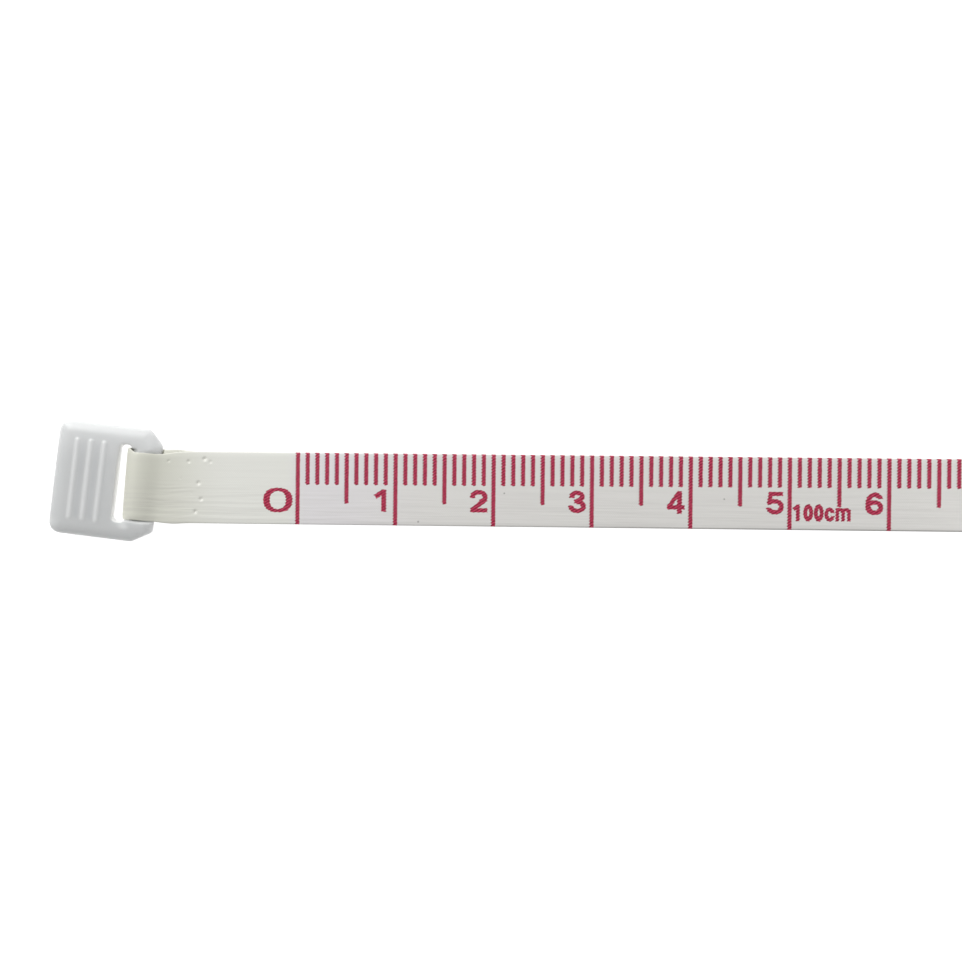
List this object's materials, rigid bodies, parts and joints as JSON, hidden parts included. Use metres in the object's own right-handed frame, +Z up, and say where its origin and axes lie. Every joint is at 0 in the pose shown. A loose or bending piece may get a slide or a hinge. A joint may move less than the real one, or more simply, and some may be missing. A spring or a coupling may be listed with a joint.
{
  "type": "pocket tape measure",
  "caption": "Pocket tape measure: white push-button case, spring-wound woven tape with a crimson centimetre scale, and a white slotted pull tab with grip ribs.",
  "frame": {"origin": "on the case's base plane, directly under the reel's axis", "axes": "+X along the tape, back into the case (the tape leaves towards -X); +Y across the tape, towards the case's back, with the button on -Y; +Z up, the printed side of the tape"},
  "size_m": [0.133, 0.0134, 0.0352],
  "materials": {
    "case_plastic": "satin moulded",
    "button_plastic": "satin moulded, crimson",
    "tab_plastic": "polished, moulded",
    "tape_weave": "coated woven tape, satin, crimson print",
    "screw_steel": "zinc plated",
    "post_steel": "turned",
    "spring_steel": "blued strip",
    "reel_plastic": "moulded",
    "film_plastic": "die cut sheet",
    "brake_plastic": "moulded",
    "brake_rubber": "moulded"
  },
  "bodies": {
    "case": {"back_shell": "case_plastic", "front_shell": "case_plastic", "case_screws": "screw_steel", "centre_post": "post_steel", "thrust_washer": "film_plastic"},
    "tape_end": {"tape_blade": "tape_weave", "tape_loop": "tape_weave"},
    "pull_tab": {"pull_tab": "tab_plastic"},
    "spool": {"spool_drum": "reel_plastic", "spring_plate": "film_plastic", "mainspring": "spring_steel", "spring_cover": "film_plastic", "tape_coil": "tape_weave", "tape_anchor_pin": "screw_steel"},
    "button": {"push_button": "button_plastic", "brake_disc": "brake_plastic", "friction_ring": "brake_rubber", "brake_clip": "spring_steel", "button_spring": "spring_steel"}
  },
  "joints": [
    {"name": "tape_slide", "type": "slide", "parent": "case", "child": "tape_end", "axis": [-1, 0, 0], "range_m": [-0.083, 0.93], "deforming": ["tape_blade"]},
    {"name": "tab_swing", "type": "hinge", "parent": "tape_end", "child": "pull_tab", "pos_m": [-0.10565, 0, 0.0027], "axis": [0.1115, 0.9938, 0], "range_deg": [-100, 100], "deforming": ["tape_loop"]},
    {"name": "spool_spin", "type": "hinge", "parent": "case", "child": "spool", "pos_m": [0, 0, 0.0176], "axis": [0, 1, 0], "range_deg": [-320, 3545], "deforming": ["mainspring"]},
    {"name": "button_press", "type": "slide", "parent": "case", "child": "button", "axis": [0, 1, 0], "range_m": [0, 0.001], "stiffness_N_per_m": 1000, "springref_m": -0.001, "deforming": ["button_spring"]}
  ],
  "couplings": [
    {"joint": "spool_spin", "follows": "tape_slide", "rad_per_m": 66.445}
  ]
}
